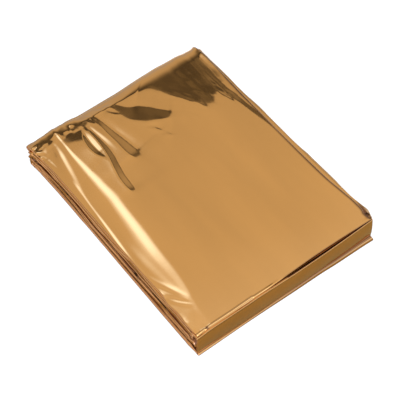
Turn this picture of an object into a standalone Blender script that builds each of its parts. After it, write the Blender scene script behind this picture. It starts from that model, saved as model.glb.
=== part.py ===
"""Emergency foil blanket, folded flat to pocket size.

One sheet of gold metallised film is laid back and forth into a low stack. The stack is modelled as one
continuous strip: its free end is the top flap, which turns down at the back, runs forward, falls down the
front as the spine, runs back along the bottom and then winds up through the three inner layers. Each layer
stands for a bundle of film plies, because the film itself is only 12 micrometres thick.

Metres, +Z up. X runs along the short side and Y along the long side. The origin is under the stack's
middle, on the surface that it lies on.
"""

import math
from collections import namedtuple

import bpy
import numpy as np

# Driving dimensions of the folded stack, to its outer faces.
STACK_WIDTH = 0.1008
STACK_LENGTH = 0.1334
LAYER_THICKNESS = 0.0017
LEAST_GAP = 0.0003

# Height of the stack's upper side at its four corners, named by their X and Y sides.
Corners = namedtuple("Corners", "left_front right_front left_back right_back")
STACK_HEIGHT = Corners(left_front=0.0145, right_front=0.0165, left_back=0.0117, right_back=0.0126)
CROWN = 0.0024
CROWN_RISE = 0.050
EDGE_ROLL = 0.018

# Folds.
SPINE_RADIUS = 0.0016
SPINE_BULGE = 0.0004
BACK_BOW = 0.0010
FLAP_LIFT = 0.0006
FLAP_LIFT_PLACE = 0.012
FLAP_LIFT_SPREAD = 0.022
FLAP_LIFT_DEPTH = 0.020

# A row for each layer, in the order in which the strip runs through them, starting with the flap.
# level counts up from the bottom. front, back, left and right say how far the layer stays inside the
# stack's outline. front_drift and back_drift are the shares of the spare gap that it rises by at its
# front and at its back, or sinks by where they are negative, so that the gaps are uneven.
Layer = namedtuple("Layer", "name level front back left right front_drift back_drift")
LAYERS = (
    Layer("flap", 5, 0.0014, 0.0000, 0.0008, 0.0024, 0.00, 0.00),
    Layer("under_flap", 4, 0.0000, 0.0000, 0.0003, 0.0006, 0.55, -0.20),
    Layer("bottom", 0, 0.0000, 0.0012, 0.0006, 0.0000, 0.00, 0.00),
    Layer("lower", 1, 0.0022, 0.0012, 0.0000, 0.0009, -0.45, 0.25),
    Layer("inner", 2, 0.0022, 0.0020, 0.0007, 0.0003, 0.20, -0.25),
    Layer("middle", 3, 0.0026, 0.0020, 0.0001, 0.0011, 0.35, 0.10),
)
TOP_LEVEL = 5

# Fineness of the faceted surface.
RUN_STEPS = 7
QUARTER_TURN_STEPS = 3
SPINE_STEPS = 3
ACROSS = (0.0, 0.04, 0.10, 0.20, 0.36, 0.52, 0.68, 0.82, 0.92, 1.0)

GOLD = (0.80, 0.47, 0.16, 1.0)
GOLD_ROUGHNESS = 0.18


def clear_scene():
    for old in list(bpy.data.objects):
        bpy.data.objects.remove(old)


def smooth(share):
    """A ramp from 0 to 1 with level ends."""
    share = np.clip(share, 0.0, 1.0)
    return share * share * (3.0 - 2.0 * share)


def stack_height(x, y):
    """Height of the stack's upper side: the four corners blended, under a crown.

    The crown rises slowly from the front and rolls off at the back and at both sides.
    """
    across = np.clip(x / STACK_WIDTH + 0.5, 0.0, 1.0)
    along = np.clip(y / STACK_LENGTH + 0.5, 0.0, 1.0)
    front = STACK_HEIGHT.left_front * (1.0 - across) + STACK_HEIGHT.right_front * across
    back = STACK_HEIGHT.left_back * (1.0 - across) + STACK_HEIGHT.right_back * across
    side_roll = smooth((STACK_WIDTH / 2.0 - np.abs(x)) / EDGE_ROLL)
    back_roll = smooth((STACK_LENGTH / 2.0 - y) / EDGE_ROLL)
    front_rise = smooth((STACK_LENGTH / 2.0 + y) / CROWN_RISE)
    return front * (1.0 - along) + back * along + CROWN * side_roll * back_roll * front_rise


def layer_height(layer, x, y):
    """Height of a layer's middle: its share of the stack, its drift in the spare gap, and the flap's lift."""
    pitch = (stack_height(x, y) - LAYER_THICKNESS) / TOP_LEVEL
    spare = pitch - LAYER_THICKNESS - LEAST_GAP
    along = np.clip(y / STACK_LENGTH + 0.5, 0.0, 1.0)
    drift = layer.front_drift * (1.0 - along) + layer.back_drift * along
    height = LAYER_THICKNESS / 2.0 + layer.level * pitch + drift * spare
    if layer.level == TOP_LEVEL:
        beside = np.exp(-(((x - FLAP_LIFT_PLACE) / FLAP_LIFT_SPREAD) ** 2))
        from_front = y + STACK_LENGTH / 2.0
        height = height + FLAP_LIFT * beside * smooth(1.0 - from_front / FLAP_LIFT_DEPTH)
    return height


def edge_line(layer, heading, x):
    """Where a layer's middle turns or ends: heading +1 is the back edge, which is bowed, and -1 the front."""
    outermost = (STACK_LENGTH - LAYER_THICKNESS) / 2.0
    if heading > 0:
        return outermost - layer.back - BACK_BOW * (2.0 * x / STACK_WIDTH) ** 2
    return np.full_like(x, layer.front + SPINE_BULGE - outermost)


def width_places(layer):
    """X of each station across a layer, from its left side to its right side."""
    left = layer.left - STACK_WIDTH / 2.0
    right = STACK_WIDTH / 2.0 - layer.right
    return left + (right - left) * np.array(ACROSS)


def turn_shape(wall_steps):
    """A fold seen from its side: the angle turned at each step, and the share of its wall passed by then."""
    quarter = np.linspace(0.0, math.pi / 2.0, QUARTER_TURN_STEPS + 1)
    wall = np.linspace(0.0, 1.0, wall_steps + 1)[1:-1] if wall_steps else np.zeros(0)
    second = quarter + math.pi / 2.0
    if not wall_steps:
        second = second[1:]
    angle = np.concatenate([quarter, np.full(len(wall), math.pi / 2.0), second])
    share = np.concatenate([np.zeros(len(quarter)), wall, np.ones(len(second))])
    return angle, share


def fold_radius(layer, following, x, edge):
    """Radius of a fold's bends: half of the step between its two layers, and no more than the spine's."""
    step = np.abs(layer_height(layer, x, edge) - layer_height(following, x, edge))
    return np.minimum(step / 2.0, SPINE_RADIUS)


def fold_points(layer, following, x_from, x_to, heading):
    """The bend between two layers: a half turn, or for the spine two quarter turns with a wall between."""
    is_spine = abs(layer.level - following.level) > 1
    angle, share = turn_shape(SPINE_STEPS if is_spine else 0)
    edge = edge_line(layer, heading, x_from)
    radius = fold_radius(layer, following, x_from, edge)
    start = layer_height(layer, x_from, edge - heading * radius)
    end = layer_height(following, x_to, edge - heading * radius)
    sense = np.sign(end - start)
    wall = np.abs(end - start) - 2.0 * radius
    passed = np.linspace(0.0, 1.0, len(angle))
    x = x_from[:, None] + (x_to - x_from)[:, None] * passed
    bulge = SPINE_BULGE * np.sin(math.pi * share) if is_spine else 0.0
    y = edge[:, None] - heading * radius[:, None] * (1.0 - np.sin(angle)) + heading * bulge
    fall = radius[:, None] * (1.0 - np.cos(angle)) + wall[:, None] * share
    z = start[:, None] + sense[:, None] * fall
    return np.stack([x, y, z], axis=-1)


def run_points(layer, x, start, end):
    """The flat run of a layer between two of its bends, which it leaves out."""
    share = np.linspace(0.0, 1.0, RUN_STEPS + 1)[1:-1]
    y = start[:, None] + (end - start)[:, None] * share
    x = np.repeat(x[:, None], len(share), axis=1)
    return np.stack([x, y, layer_height(layer, x, y)], axis=-1)


def end_points(layer, x, y):
    """The free end of a layer."""
    return np.stack([x, y, layer_height(layer, x, y)], axis=-1)[:, None, :]


def strip_points():
    """The strip's middle surface: a row of points for each station across it, along the whole section."""
    pieces = []
    start = edge_line(LAYERS[0], -1, width_places(LAYERS[0]))
    pieces.append(end_points(LAYERS[0], width_places(LAYERS[0]), start))
    for number, layer in enumerate(LAYERS):
        heading = 1 if number % 2 == 0 else -1
        x = width_places(layer)
        if number == len(LAYERS) - 1:
            end = edge_line(layer, heading, x)
            pieces.append(run_points(layer, x, start, end))
            pieces.append(end_points(layer, x, end))
            break
        following = LAYERS[number + 1]
        fold = fold_points(layer, following, x, width_places(following), heading)
        pieces.append(run_points(layer, x, start, fold[:, 0, 1]))
        pieces.append(fold)
        start = fold[:, -1, 1]
    return np.concatenate(pieces, axis=1)


def strip_mesh(name):
    """The middle surface as a grid of four-sided faces."""
    points = strip_points()
    stations, steps = points.shape[:2]
    number = np.arange(stations * steps).reshape(stations, steps)
    corners = (number[:-1, :-1], number[1:, :-1], number[1:, 1:], number[:-1, 1:])
    faces = np.stack(corners, axis=-1).reshape(-1, 4)
    mesh = bpy.data.meshes.new(name)
    mesh.from_pydata(points.reshape(-1, 3).tolist(), [], faces.tolist())
    mesh.update()
    return mesh


def gold_film():
    material = bpy.data.materials.new("gold_film")
    material.use_nodes = True
    shader = material.node_tree.nodes["Principled BSDF"]
    shader.inputs["Base Color"].default_value = GOLD
    shader.inputs["Metallic"].default_value = 1.0
    shader.inputs["Roughness"].default_value = GOLD_ROUGHNESS
    return material


def make_blanket(collection):
    mesh = strip_mesh("blanket")
    mesh.materials.append(gold_film())
    mesh.shade_smooth()
    blanket = bpy.data.objects.new("blanket", mesh)
    collection.objects.link(blanket)
    film = blanket.modifiers.new("film_plies", "SOLIDIFY")
    film.thickness = LAYER_THICKNESS
    film.offset = 0.0
    film.use_even_offset = True
    return blanket


def main():
    clear_scene()
    collection = bpy.data.collections.new("foil_blanket")
    bpy.context.scene.collection.children.link(collection)
    make_blanket(collection)


main()
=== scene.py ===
import math

import bmesh
import bpy
import numpy as np
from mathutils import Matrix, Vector


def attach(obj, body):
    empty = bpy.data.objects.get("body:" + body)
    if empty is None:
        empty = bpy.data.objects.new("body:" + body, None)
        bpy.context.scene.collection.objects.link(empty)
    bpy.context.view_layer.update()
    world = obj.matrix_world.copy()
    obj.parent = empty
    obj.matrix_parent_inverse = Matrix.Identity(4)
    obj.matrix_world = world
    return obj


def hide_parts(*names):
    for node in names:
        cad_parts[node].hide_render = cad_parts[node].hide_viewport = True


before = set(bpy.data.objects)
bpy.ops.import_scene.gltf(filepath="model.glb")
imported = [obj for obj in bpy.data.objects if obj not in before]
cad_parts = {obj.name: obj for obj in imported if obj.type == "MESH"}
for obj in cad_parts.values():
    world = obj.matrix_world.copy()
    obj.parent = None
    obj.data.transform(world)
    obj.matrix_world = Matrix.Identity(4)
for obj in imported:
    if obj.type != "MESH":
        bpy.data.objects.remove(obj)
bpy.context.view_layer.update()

mm = 0.001

# lengths are in mm, slopes are rise over run; x runs from the open left side to the right, y from the spine
# to the folded back. A pair whose name ends in X or Y says where an effect starts along that axis and the
# length over which it sets in, backwards if negative

stack = {
    "width": 100.8,
    "length": 133.4,
    "leftFront": 15.3,      # height that the top would have at each corner if no edge drooped
    "rightFront": 16.5,
    "leftBack": 16.0,
    "rightBack": 16.0,
    "flapThick": 1.2,
    "gap": 0.2,
    "levels": 5,            # layers under the flap
    "foldInset": 3.2,       # how far inside its back line a run starts to turn
}

# an edge droops at a slope that sets in over its onset length, half of it on each side of the middle line, or
# from its start on; each row is (place along the edge, value)
droop = {
    "leftSlope": ((-67, 0.12), (-46, 0.124), (-26, 0.126), (-10, 0.142), (6, 0.162), (25, 0.172),
        (67, 0.176)),
    "leftMiddle": ((-67, -42), (-56, -41.6), (-50, -40.7), (-44, -39.6), (-36, -38.9), (-20, -38.4),
        (-7, -37.7), (3, -37.3), (15, -36.9), (25, -37.3), (35, -37.5), (45, -37.6), (56, -37), (67, -36.6)),
    "leftOnset": ((-67, 3), (-50, 3.8), (-44, 5), (-36, 6.8), (-20, 9), (-7, 10.2), (5, 10), (15, 9.2),
        (25, 8), (35, 6.2), (45, 4), (55, 2.2), (67, 2)),
    "rimSlope": ((-50, 0.25), (-22, 0.3), (0, 0.26), (15, 0.26), (40, 0.29), (50, 0.31)),
    "rimMiddle": ((-50, 2.6), (-40, 2.6), (-37, 3.4), (-34, 2.7), (-29, 3.6), (-24, 5.4), (-20, 6.3),
        (-10, 6.5), (0, 6.9), (5, 6.4), (12, 5.6), (25, 5.2), (42, 4.8), (50, 4.2)),
    "rimOnset": ((-50, 9), (-46, 12), (-40.5, 12), (-37, 2.4), (-34.5, 13), (-31, 13), (-28.2, 3), (-26.2, 8),
        (-24.6, 7), (-22, 1.2), (-6, 1.2), (3, 2.8), (12, 7.2), (25, 8), (50, 8.6)),
    "frayAmount": 0.7,      # uneven steps along the left part of the rim
    "fraySize": 1.9,
    "frayX": (-22, -4),
    "softSlope": ((-50, 0), (-8, 0), (4, 0.022), (12, 0.034), (20, 0.039), (34, 0.044), (38, 0.042),
        (40.4, 0.036), (43, 0.029), (45.4, 0.0225), (50, 0.007)),
    "softStart": ((-50, 58), (-3, 57), (11, 55), (16, 52.5), (20, 46.5), (23, 41), (28, 33), (32, 27.6),
        (35, 27.5), (38, 30.5), (40, 30.5), (41.4, 28), (43, 23), (50, 20)),
    "softOnset": 7.0,
    "rightSlope": ((-67, 0), (5, 0), (14, 0.01), (67, 0.014)),
    "rightStart": ((-67, 2), (10, 3), (30, 4.6), (50, 5.6), (67, 6.6)),
    "rightOnset": 1.6,
}

# a leaf is a long facet that leans to one side: path of (x, y, half width, slope), then how far the film
# takes to come back level on its high and low sides
leaves = [
    dict(path=((-6.2, 62.5, 0.8, 0), (-4.5, 58, 1.7, 0.078), (-3, 53.8, 3, 0.07), (-0.9, 50.4, 4.3, 0.061),
        (1.9, 47.9, 5, 0.054), (4.8, 45.2, 4.9, 0.053), (7.8, 42.6, 4, 0.053), (10.5, 40.6, 3.2, 0.052),
        (12.8, 39, 2.4, 0.046), (14.4, 37.8, 2, 0.02), (19, 34, 1.8, 0)),
        high=9.0, low=12.0),
    dict(path=((-16.2, 60.5, 0.5, 0), (-16.1, 57.5, 0.9, 0.09), (-15.9, 52.5, 1.3, 0.12),
        (-15.4, 47, 1.7, 0.125), (-14.7, 41, 2.1, 0.125), (-14.2, 35, 2.5, 0.125), (-13.8, 31.5, 2.6, 0.12),
        (-13.4, 29, 2.4, 0.09), (-12.8, 25, 2.2, 0.055), (-11, 9, 2.2, 0)),
        high=15.0, low=13.0),
    dict(path=((-23.2, 57, 0.4, 0), (-22.9, 53.5, 0.8, 0.1), (-22.6, 47, 1.1, 0.125), (-22.7, 41, 1.4, 0.13),
        (-23.4, 35, 1.6, 0.13), (-25, 28, 1.7, 0.13), (-26.3, 21, 1.7, 0.13), (-26.6, 15.5, 1.6, 0.12),
        (-26.6, 13.2, 1.4, 0.08), (-26.5, 11, 1.3, 0.04), (-26.2, 2, 1.2, 0)),
        high=6.0, low=12.0),
    dict(path=((-26, 56.5, 0.4, 0), (-26.6, 54, 0.7, 0.09), (-27.5, 50, 1.1, 0.13), (-27.9, 45.4, 1.3, 0.13),
        (-27.6, 41, 1.1, 0.13), (-26.8, 38, 0.7, 0.09), (-26.2, 36.5, 0.6, 0.04), (-25.6, 33, 0.6, 0)),
        high=9.0, low=2.8),
    dict(path=((45.6, 67, 1.4, 0.05), (45, 60, 1.6, 0.082), (44.5, 50, 1.5, 0.08), (44.2, 41, 1.15, 0.057),
        (44.5, 33, 1.1, 0.042), (45.9, 17, 1.1, 0.034), (47.4, 4, 0.9, 0.028), (48.4, -8, 0.8, 0)),
        high=20.0, low=14.0),
]

# fine creases fall like a leaf, over a fraction of a mm
fineCreases = [
    ((-22.2, 66, 0.3, 0), (-22.8, 63, 0.3, 0.12), (-24, 59, 0.4, 0.14), (-24, 56, 0.3, 0.08),
        (-23.6, 53.8, 0.3, 0)),
    ((-21.6, 65.6, 0.3, 0), (-19.6, 62.4, 0.4, 0.12), (-17.2, 59.8, 0.4, 0.14), (-16.4, 57.2, 0.3, 0)),
    ((-20.6, 62.4, 0.3, 0), (-19.6, 58.4, 0.5, 0.14), (-18.4, 54.6, 0.3, 0)),
    ((-18.8, 61.6, 0.3, 0), (-17.6, 57, 0.4, 0.12), (-17.6, 51.6, 0.3, 0)),
    ((-14.6, 64.4, 0.3, 0), (-12.2, 62, 0.9, 0.1), (-9.8, 59.2, 0.4, 0)),
    ((-10.8, 62.2, 0.3, 0), (-8, 61.4, 0.5, 0.12), (-6.6, 59.4, 0.4, 0.12), (-6, 54.8, 0.3, 0)),
    ((-9.8, 59.6, 0.3, 0), (-8, 55.8, 0.5, 0.1), (-5, 52, 0.3, 0)),
    ((-0.4, 40, 0.4, 0), (1.6, 37.4, 0.8, 0.055), (3.2, 35, 0.8, 0.06), (4.4, 32.4, 0.5, 0)),
    ((2, 39, 0.4, 0), (3.4, 36.6, 0.7, 0.06), (4.6, 34, 0.7, 0.055), (5.6, 31.6, 0.4, 0)),
    ((4, 33.8, 0.4, 0), (5.6, 31, 0.7, 0.06), (6.8, 28.4, 0.6, 0.06), (7.6, 26, 0.3, 0)),
    ((2.8, 32.4, 0.4, 0), (4.6, 30, 0.6, 0.055), (6, 27.6, 0.3, 0)),
]

# a ridge is a raised line: path of (x, y, half width, height)
ridges = [
    ((-40.8, 61, 1, 0), (-41.8, 54, 1.8, 0.11), (-43, 48.6, 2.4, 0.175), (-44.2, 43, 2.6, 0.18),
        (-45.3, 36, 2.4, 0.14), (-46.3, 28, 1.8, 0.06), (-47, 20, 1.4, 0)),
    ((-48.2, 59, 0.9, 0), (-47.8, 50, 1.2, 0.07), (-47.4, 40, 1.7, 0.1), (-47.2, 31, 1.8, 0.115),
        (-47.4, 24, 1.4, 0.06), (-48, 14, 1, 0)),
    ((-46.4, 28, 0.8, 0), (-47.5, 17, 1.2, 0.07), (-48.4, 5, 1.3, 0.1), (-49.3, -7, 1.2, 0.085),
        (-50.2, -19, 1, 0)),
    ((-46.4, -4, 1.6, 0), (-46, -18, 2.2, 0.02), (-45.4, -30, 2.6, 0.04), (-44, -40, 2.2, 0.05),
        (-40.8, -50, 1.4, 0)),
    ((-48.6, -27, 0.8, 0), (-47.4, -32.4, 1.3, 0.04), (-45.8, -37, 1.6, 0.06), (-43.6, -42, 1.5, 0.055),
        (-40.4, -49, 0.9, 0)),
    ((-49.6, -34, 0.7, 0), (-47.4, -40, 1.2, 0.06), (-44.4, -44.8, 1.3, 0.065), (-40.6, -50.8, 0.9, 0)),
    ((-49.2, -41, 0.7, 0), (-46.6, -46, 1.1, 0.05), (-44, -49.4, 1.1, 0.055), (-41.2, -52.6, 0.8, 0)),
    ((-50.8, -35, 0.6, 0), (-49.8, -37.6, 0.9, 0.13), (-48.8, -40, 0.8, 0.09), (-47.4, -42, 0.6, 0)),
    ((-20.8, 57.5, 1, 0), (-20.2, 53, 1.5, 0.045), (-19.3, 48, 1.7, 0.045), (-18.6, 42, 1.6, 0.02),
        (-18.2, 36, 1.4, 0)),
    ((-12.4, 59, 2.4, 0), (-10.2, 51.5, 3.6, 0.045), (-8.6, 44.3, 4.2, 0.055), (-6.4, 35.4, 4, 0.045),
        (-4, 20, 3.4, 0)),
]

# how far beside its path each kind of crease is worked out, and the film's own unevenness
creases = {
    "leafReach": 27,
    "leafBox": 30,          # half the size of the box round the path
    "fineReach": 8,
    "fineBox": 9,
    "fineHigh": 1.6,
    "fineLow": 2.2,
    "ridgeBox": 8,
    "waveHeight": 0.045,    # long low waves
    "waveSize": 21.0,
    "waveTurn": (0.8, 0.6),
    "waveSquash": 0.6,
    "calmShare": 0.75,      # how much weaker waves and fray are towards the back right
    "calmX": (5, 15),
    "calmY": (20, 20),
    "fray": ((1, 0.009, 5), (2.4, 0.016, 6)),       # size, height and seed of each ripple
    "frayTurn": (0.93, 0.37),
    "fraySquash": 0.26,
    "frayX": (14, 6),
    "frayY": (26, 6),
    "frayEndY": (60, -6),
    "steadyX": (32, 6),     # beyond here they are weaker
    "steadyY": (38, 6),
    "crumple": ((2.9, 0.05, 8, 1.1), (1.1, 0.008, 9, 1)),       # size, height, seed and squash along y
    "crumpleX": (-21, -4),
    "crumpleY": (56, 3),
    "crumpleEndY": (66, -2.5),
}


def ramp(t):
    # 0 below 0, 1 above 1, level at both ends
    t = np.clip(t, 0, 1)
    return t * t * (3 - 2 * t)


def rise(value, start, length):
    # a ramp that starts at a place and is complete one length on; a negative length runs backwards
    return ramp((value - start) / length)


def rampSum(t):
    # area under the ramp up to t: a slope that sets in softly and then stays
    inside = np.clip(t, 0, 1)
    return inside ** 3 - inside ** 4 / 2 + np.maximum(t - 1, 0)


def readTable(rows, at):
    # a smooth cubic through (place, value) rows that never overshoots them, constant outside them
    places, values = np.array(rows, float).T
    at = np.clip(at, places[0], places[-1])
    steps = np.diff(values) / np.diff(places)
    product, total = steps[1:] * steps[:-1], steps[1:] + steps[:-1]
    middle = np.where(product > 0, 2 * product / np.where(product > 0, total, 1), 0)
    slopes = np.concatenate([steps[:1], middle, steps[-1:]])
    i = np.clip(np.searchsorted(places, at) - 1, 0, len(places) - 2)
    span = places[i + 1] - places[i]
    t = (at - places[i]) / span
    ends = values[i] * (1 + 2 * t) * (1 - t) ** 2 + values[i + 1] * t * t * (3 - 2 * t)
    return ends + span * (slopes[i] * t * (1 - t) ** 2 - slopes[i + 1] * t * t * (1 - t))


def latticeNoise(x, y, size, seed):
    # smooth noise between -1 and 1: random values on a square lattice, joined by ramps
    cells, offset = 64, 100     # the lattice repeats after its cells, and the offset keeps places positive
    table = np.random.default_rng(seed).uniform(-1, 1, (cells, cells))
    u, v = x / size + offset, y / size + offset
    i, j = np.floor(u).astype(int), np.floor(v).astype(int)
    s, t = ramp(u - i), ramp(v - j)
    west, east, south, north = i % cells, (i + 1) % cells, j % cells, (j + 1) % cells
    low = table[west, south] * (1 - s) + table[east, south] * s
    high = table[west, north] * (1 - s) + table[east, north] * s
    return low * (1 - t) + high * t


def turnedNoise(x, y, turn, squash, size, seed):
    # lattice noise on axes turned by (cosine, sine) and squashed along the second
    cosine, sine = turn
    return latticeNoise(x * cosine + y * sine, (y * cosine - x * sine) * squash, size, seed)


def followPath(path, x, y):
    # for each place: distance across the path (positive to its left, looking along it), and the path's own
    # width and strength at the nearest spot
    stepsPerKnot, far = 8, 1e9
    knots = np.array(path, float)
    lengths = np.concatenate([[0], np.cumsum(np.hypot(*np.diff(knots[:, :2], axis=0).T))])
    at = np.linspace(0, lengths[-1], stepsPerKnot * len(knots))
    fine = np.stack([readTable(np.stack([lengths, column], axis=1), at) for column in knots.T], axis=1)
    start, step = fine[:-1, :2], np.diff(fine[:, :2], axis=0)
    size = np.hypot(step[:, 0], step[:, 1])
    run = np.concatenate([[0], np.cumsum(size)])
    best = np.full(x.shape, far)
    across, along = np.zeros(x.shape), np.zeros(x.shape)
    for n in range(len(step)):
        dx, dy = x - start[n, 0], y - start[n, 1]
        ux, uy = step[n] / size[n]
        t = np.clip(dx * ux + dy * uy, 0, size[n])
        away = np.hypot(dx - ux * t, dy - uy * t)
        nearer = away < best
        best = np.where(nearer, away, best)
        across = np.where(nearer, ux * dy - uy * dx, across)
        along = np.where(nearer, run[n] + t, along)
    width = np.interp(along, run, fine[:, 2])
    strength = np.interp(along, run, fine[:, 3])
    return across, width, strength


def nearPath(path, x, y, reach):
    # true inside the box round a path
    knots = np.array(path, float)[:, :2]
    low, high = knots.min(axis=0) - reach, knots.max(axis=0) + reach
    return (x > low[0]) & (x < high[0]) & (y > low[1]) & (y < high[1])


def leafHeight(path, x, y, high, low, reach):
    # a straight fall across the facet's width, which the film makes up again on both sides of it, by a decay
    # of its own length on each side that ends softly at its reach
    squareness = 10
    across, width, slope = followPath(path, x, y)
    t = across / width
    fall = t / (1 + np.abs(t) ** squareness) ** (1 / squareness)
    beyond = np.maximum(np.abs(across) - width, 0)
    back = np.exp(-beyond / np.where(across > 0, low, high)) * ramp((reach - beyond) / reach * 2)
    return -slope * width * fall * back


def ridgeHeight(path, x, y):
    # a soft roof: the root of 1 plus 4 times a squared bell curve, less 1, over its value on the line
    valueOnLine = 1.236
    across, width, height = followPath(path, x, y)
    t = across / width
    return height * (np.sqrt(1 + 4 * np.exp(-t * t) ** 2) - 1) / valueOnLine


def stackTop(x, y):
    # the top without its small creases: a level plane that droops at its left and back edges
    u, v = x / stack["width"] + 0.5, y / stack["length"] + 0.5
    plane = (stack["leftFront"] * (1 - u) + stack["rightFront"] * u) * (1 - v) + (
        stack["leftBack"] * (1 - u) + stack["rightBack"] * u) * v
    onset = readTable(droop["leftOnset"], y)
    past = readTable(droop["leftMiddle"], y) + onset / 2 - x
    left = readTable(droop["leftSlope"], y) * onset * rampSum(past / onset)
    inside = stack["length"] / 2 - y
    onset = readTable(droop["rimOnset"], x)
    steps = latticeNoise(x, 0 * x, droop["fraySize"], seed=12)
    middle = readTable(droop["rimMiddle"], x) + droop["frayAmount"] * rise(x, *droop["frayX"]) * steps
    rim = readTable(droop["rimSlope"], x) * onset * rampSum((middle + onset / 2 - inside) / onset)
    onset = droop["softOnset"]
    soft = readTable(droop["softSlope"], x) * onset * rampSum((y - readTable(droop["softStart"], x)) / onset)
    return plane - left - rim - soft


def rightDroop(x, y):
    # only the flap leans down a little along its right edge
    onset = droop["rightOnset"]
    past = readTable(droop["rightStart"], y) - (stack["width"] / 2 - x)
    return readTable(droop["rightSlope"], y) * onset * rampSum(past / onset)


def unevenness(x, y):
    # the film's own surface: long low waves, ripples that fray the edges of reflections, crumpling at the rim
    calm = 1 - creases["calmShare"] * rise(y, *creases["calmY"]) * rise(x, *creases["calmX"])
    waves = turnedNoise(x, y, creases["waveTurn"], creases["waveSquash"], creases["waveSize"], seed=3)
    yield creases["waveHeight"] * calm * waves
    steady = 1 - creases["calmShare"] * rise(x, *creases["steadyX"]) * rise(y, *creases["steadyY"])
    frayed = rise(x, *creases["frayX"]) * rise(y, *creases["frayY"]) * rise(y, *creases["frayEndY"]) * steady
    for size, height, seed in creases["fray"]:
        yield height * frayed * turnedNoise(x, y, creases["frayTurn"], creases["fraySquash"], size, seed)
    rim = rise(y, *creases["crumpleY"]) * rise(y, *creases["crumpleEndY"]) * rise(x, *creases["crumpleX"])
    crumpled = 0
    for size, height, seed, squash in creases["crumple"]:
        crumpled = crumpled + height * latticeNoise(x, y * squash, size, seed)
    yield rim * crumpled


def flapCreases(x, y):
    # the flap's lean and every crease's height, each worked out near its own path, with the film's unevenness
    total = -rightDroop(x, y)
    fine = dict(high=creases["fineHigh"], low=creases["fineLow"], reach=creases["fineReach"])
    shapes = [(creases["leafBox"], leafHeight, dict(leaf, reach=creases["leafReach"])) for leaf in leaves]
    shapes += [(creases["fineBox"], leafHeight, dict(fine, path=path)) for path in fineCreases]
    shapes += [(creases["ridgeBox"], ridgeHeight, dict(path=path)) for path in ridges]
    for box, shape, values in shapes:
        near = nearPath(values["path"], x, y, box)
        total[near] += shape(x=x[near], y=y[near], **values)
    for part in unevenness(x, y):
        total += part
    return total


# the runs of the strip: each one's layer, and how far it stays inside the outline at its front, back, left
# and right, in rows of (y, distance)
runs = {
    "flap": dict(
        level=5, back=0.0,
        left=((-67, 0.6), (-58, 0.3), (-50, 0.8), (-44, 0.2), (-38, 0.9), (-20, 0.6), (56, 0.6), (67, 1.5)),
        right=((-67, 0.6), (-65.2, 0.7), (-63.2, 1.9), (-60.5, 2), (-57.5, 1.2), (-52, 1.1), (-45, 1.6),
            (-33, 2.4), (-20, 2.5), (10, 2.4), (22, 2.1), (45, 1.3), (60, 1), (67, 1.4))),
    "underFlap": dict(
        level=4, back=0.0,
        left=((-67, 0.1), (67, 0.1)),
        right=((-67, 1.6), (-64.5, 0.6), (-62, -0.4), (-58, -0.9), (-48, -0.5), (-20, -0.3), (20, -0.1),
            (67, 0))),
    "middle": dict(level=3, front=3.0, back=2.0, left=((-67, 0.5), (67, 0.5)), right=((-67, 0.9), (67, 0.9))),
    "inner": dict(
        level=2, front=2.6, back=2.0,
        left=((-67, 0), (52, 0), (67, 0.5)),
        right=((-67, 0.2), (67, 0.2))),
    "lower": dict(
        level=1, front=2.6, back=1.2,
        left=((-67, 0.4), (52, 0.4), (67, 1.1)),
        right=((-67, 0.7), (67, 0.7))),
    "bottom": dict(
        level=0, front=2.6, back=1.2,
        left=((-67, -0.1), (10, 0), (30, 0.3), (45, 0.3), (58, 0.8), (67, 1.6)),
        right=((-67, 0.2), (-64, 0), (-56, -0.2), (-40, -0.2), (67, 0))),
}

# how the layers lie on each other: the gaps between them wander and open near the open sides
layering = {
    "sideReach": 6,         # how far in from a side they do so
    "wander": 0.5,
    "wanderSize": 15.0,
    "gape": 0.25,
    "gapeNoise": 0.5,
    "gapeSize": 17.0,
    "partingReach": 7,
    "partingFall": 1.6,
    "partingStart": 3.5,
    "noseGap": 0.8,         # the folds' noses stay open a little at the back corners
    "noseY": (52, 10),
    "shadeWidth": 0.30,     # how near a gap the sides take painted shade
    "bareShare": 0.9,
    "outerLevel": 0.99,
}

# places on the left side where two layers part: the upper one's level, y where it is widest, the length of
# its slow end and its opening
partings = (
    dict(level=3, y=-20.0, length=24.0, opening=2.8),
    dict(level=4, y=-50.0, length=12.0, opening=2.3),
    dict(level=2, y=-58.0, length=9.0, opening=1.6),
    dict(level=4, y=24.0, length=22.0, opening=0.7),
    dict(level=2, y=18.0, length=30.0, opening=0.8),
)

# the flap's front edge, with the spine's crest under it
front = {
    "line": ((-50, -65.4), (-24, -65.7), (-12, -65.7), (-4, -65.5), (6, -65.3), (16, -65.1), (28, -65.2),
        (40, -65.5), (50, -65.9)),
    "edgeThick": 0.3,
    "taperStart": 2,
    "taper": 9.0,
    "bevel": ((-50, 0.4), (-45, 0.45), (-44.1, 0), (-43.2, 0.45), (-30, 0.5), (-20, 0.6), (-18.9, 0.6),
        (-18.1, 0.25), (-8, 0.2), (-3, 0.1), (0, 0), (50, 0)),
    "bevelSlope": 0.577,
    "bevelLength": 6,       # how far the layer under the flap follows the bevel
    "turnHeight": ((-50, 0.24), (-20, 0.26), (-12, 0.16), (-3, 0), (50, 0)),        # a line behind the bevel
    "crestDrop": ((-50, 0.15), (-18, 0.2), (-6, 0.5), (4, 0.82), (14, 0.92), (24, 0.82), (34, 0.52),
        (43, 0.2), (50, 0)),
    "crestInset": 0.6,
    "crestLength": 7,
    "dip": ((-50, 0), (-20, 0.05), (-6, 0.15), (6, 0.28), (16, 0.3), (28, 0.22), (40, 0.08), (50, 0)),
    "dipPlace": 3.0,
    "dipWidth": 1.5,
    "curl": -43.8,          # x of a curl in the edge, darkened by painted shade
    "pocket": 0.9,          # hollow under the flap's right front corner
    "pocketPlace": (49, -61),
    "pocketSize": (1.5, 2.6),
}


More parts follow.
